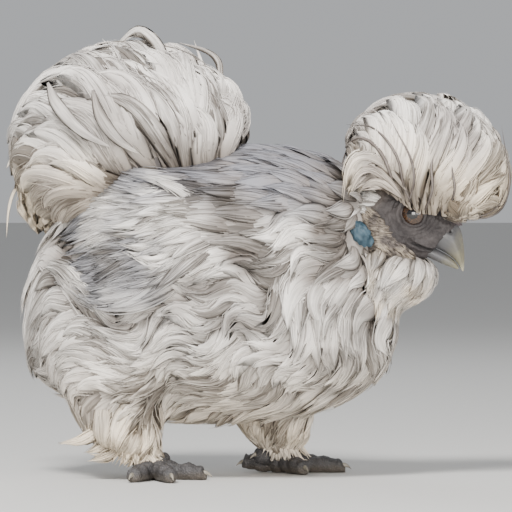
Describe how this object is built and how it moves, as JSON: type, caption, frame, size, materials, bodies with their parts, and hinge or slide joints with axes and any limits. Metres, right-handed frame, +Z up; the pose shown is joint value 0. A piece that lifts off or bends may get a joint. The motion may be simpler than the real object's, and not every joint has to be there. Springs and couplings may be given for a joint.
{
  "type": "silkie chicken figure",
  "caption": "Life-size still figure of a white and grey silkie hen in mid step, head low, with a pompom crest, a beard, turquoise earlobes and a ball of soft tail plumes.",
  "frame": {"origin": "on the floor, under the middle of the bird's length and width", "axes": "+X forward, the way the bird faces; +Y to the bird's left; +Z up; the floor is z = 0"},
  "size_m": [0.3633, 0.1859, 0.3099],
  "materials": {
    "plumage": "soft hair-like feather, white with grey roots",
    "leg_plumage": "soft feather, cream",
    "face_skin": "bare mulberry-grey skin, finely wrinkled",
    "comb": "dark mulberry, knobbly",
    "bill_horn": "horn, grey at the base and pale at the tip",
    "eye": "dark brown, wet",
    "earlobe": "turquoise skin",
    "foot_skin": "slate grey scaly skin, warm brown beneath",
    "claw": "pale horn"
  },
  "bodies": {
    "root": {"torso": "plumage", "neck": "plumage", "beard": "plumage", "crest": "plumage", "tail": "plumage", "wing_right": "plumage", "wing_left": "plumage", "leg_right": "leg_plumage", "leg_left": "leg_plumage", "head": "face_skin", "comb": "comb", "bill_upper": "bill_horn", "bill_lower": "bill_horn", "eye_right": "eye", "earlobe_right": "earlobe", "foot_right": "foot_skin", "claw_right_inner": "claw", "claw_right_middle": "claw", "claw_right_outer": "claw", "claw_right_hind": "claw", "claw_right_fifth": "claw", "eye_left": "eye", "earlobe_left": "earlobe", "foot_left": "foot_skin", "claw_left_inner": "claw", "claw_left_middle": "claw", "claw_left_outer": "claw", "claw_left_hind": "claw", "claw_left_fifth": "claw"}
  },
  "joints": []
}
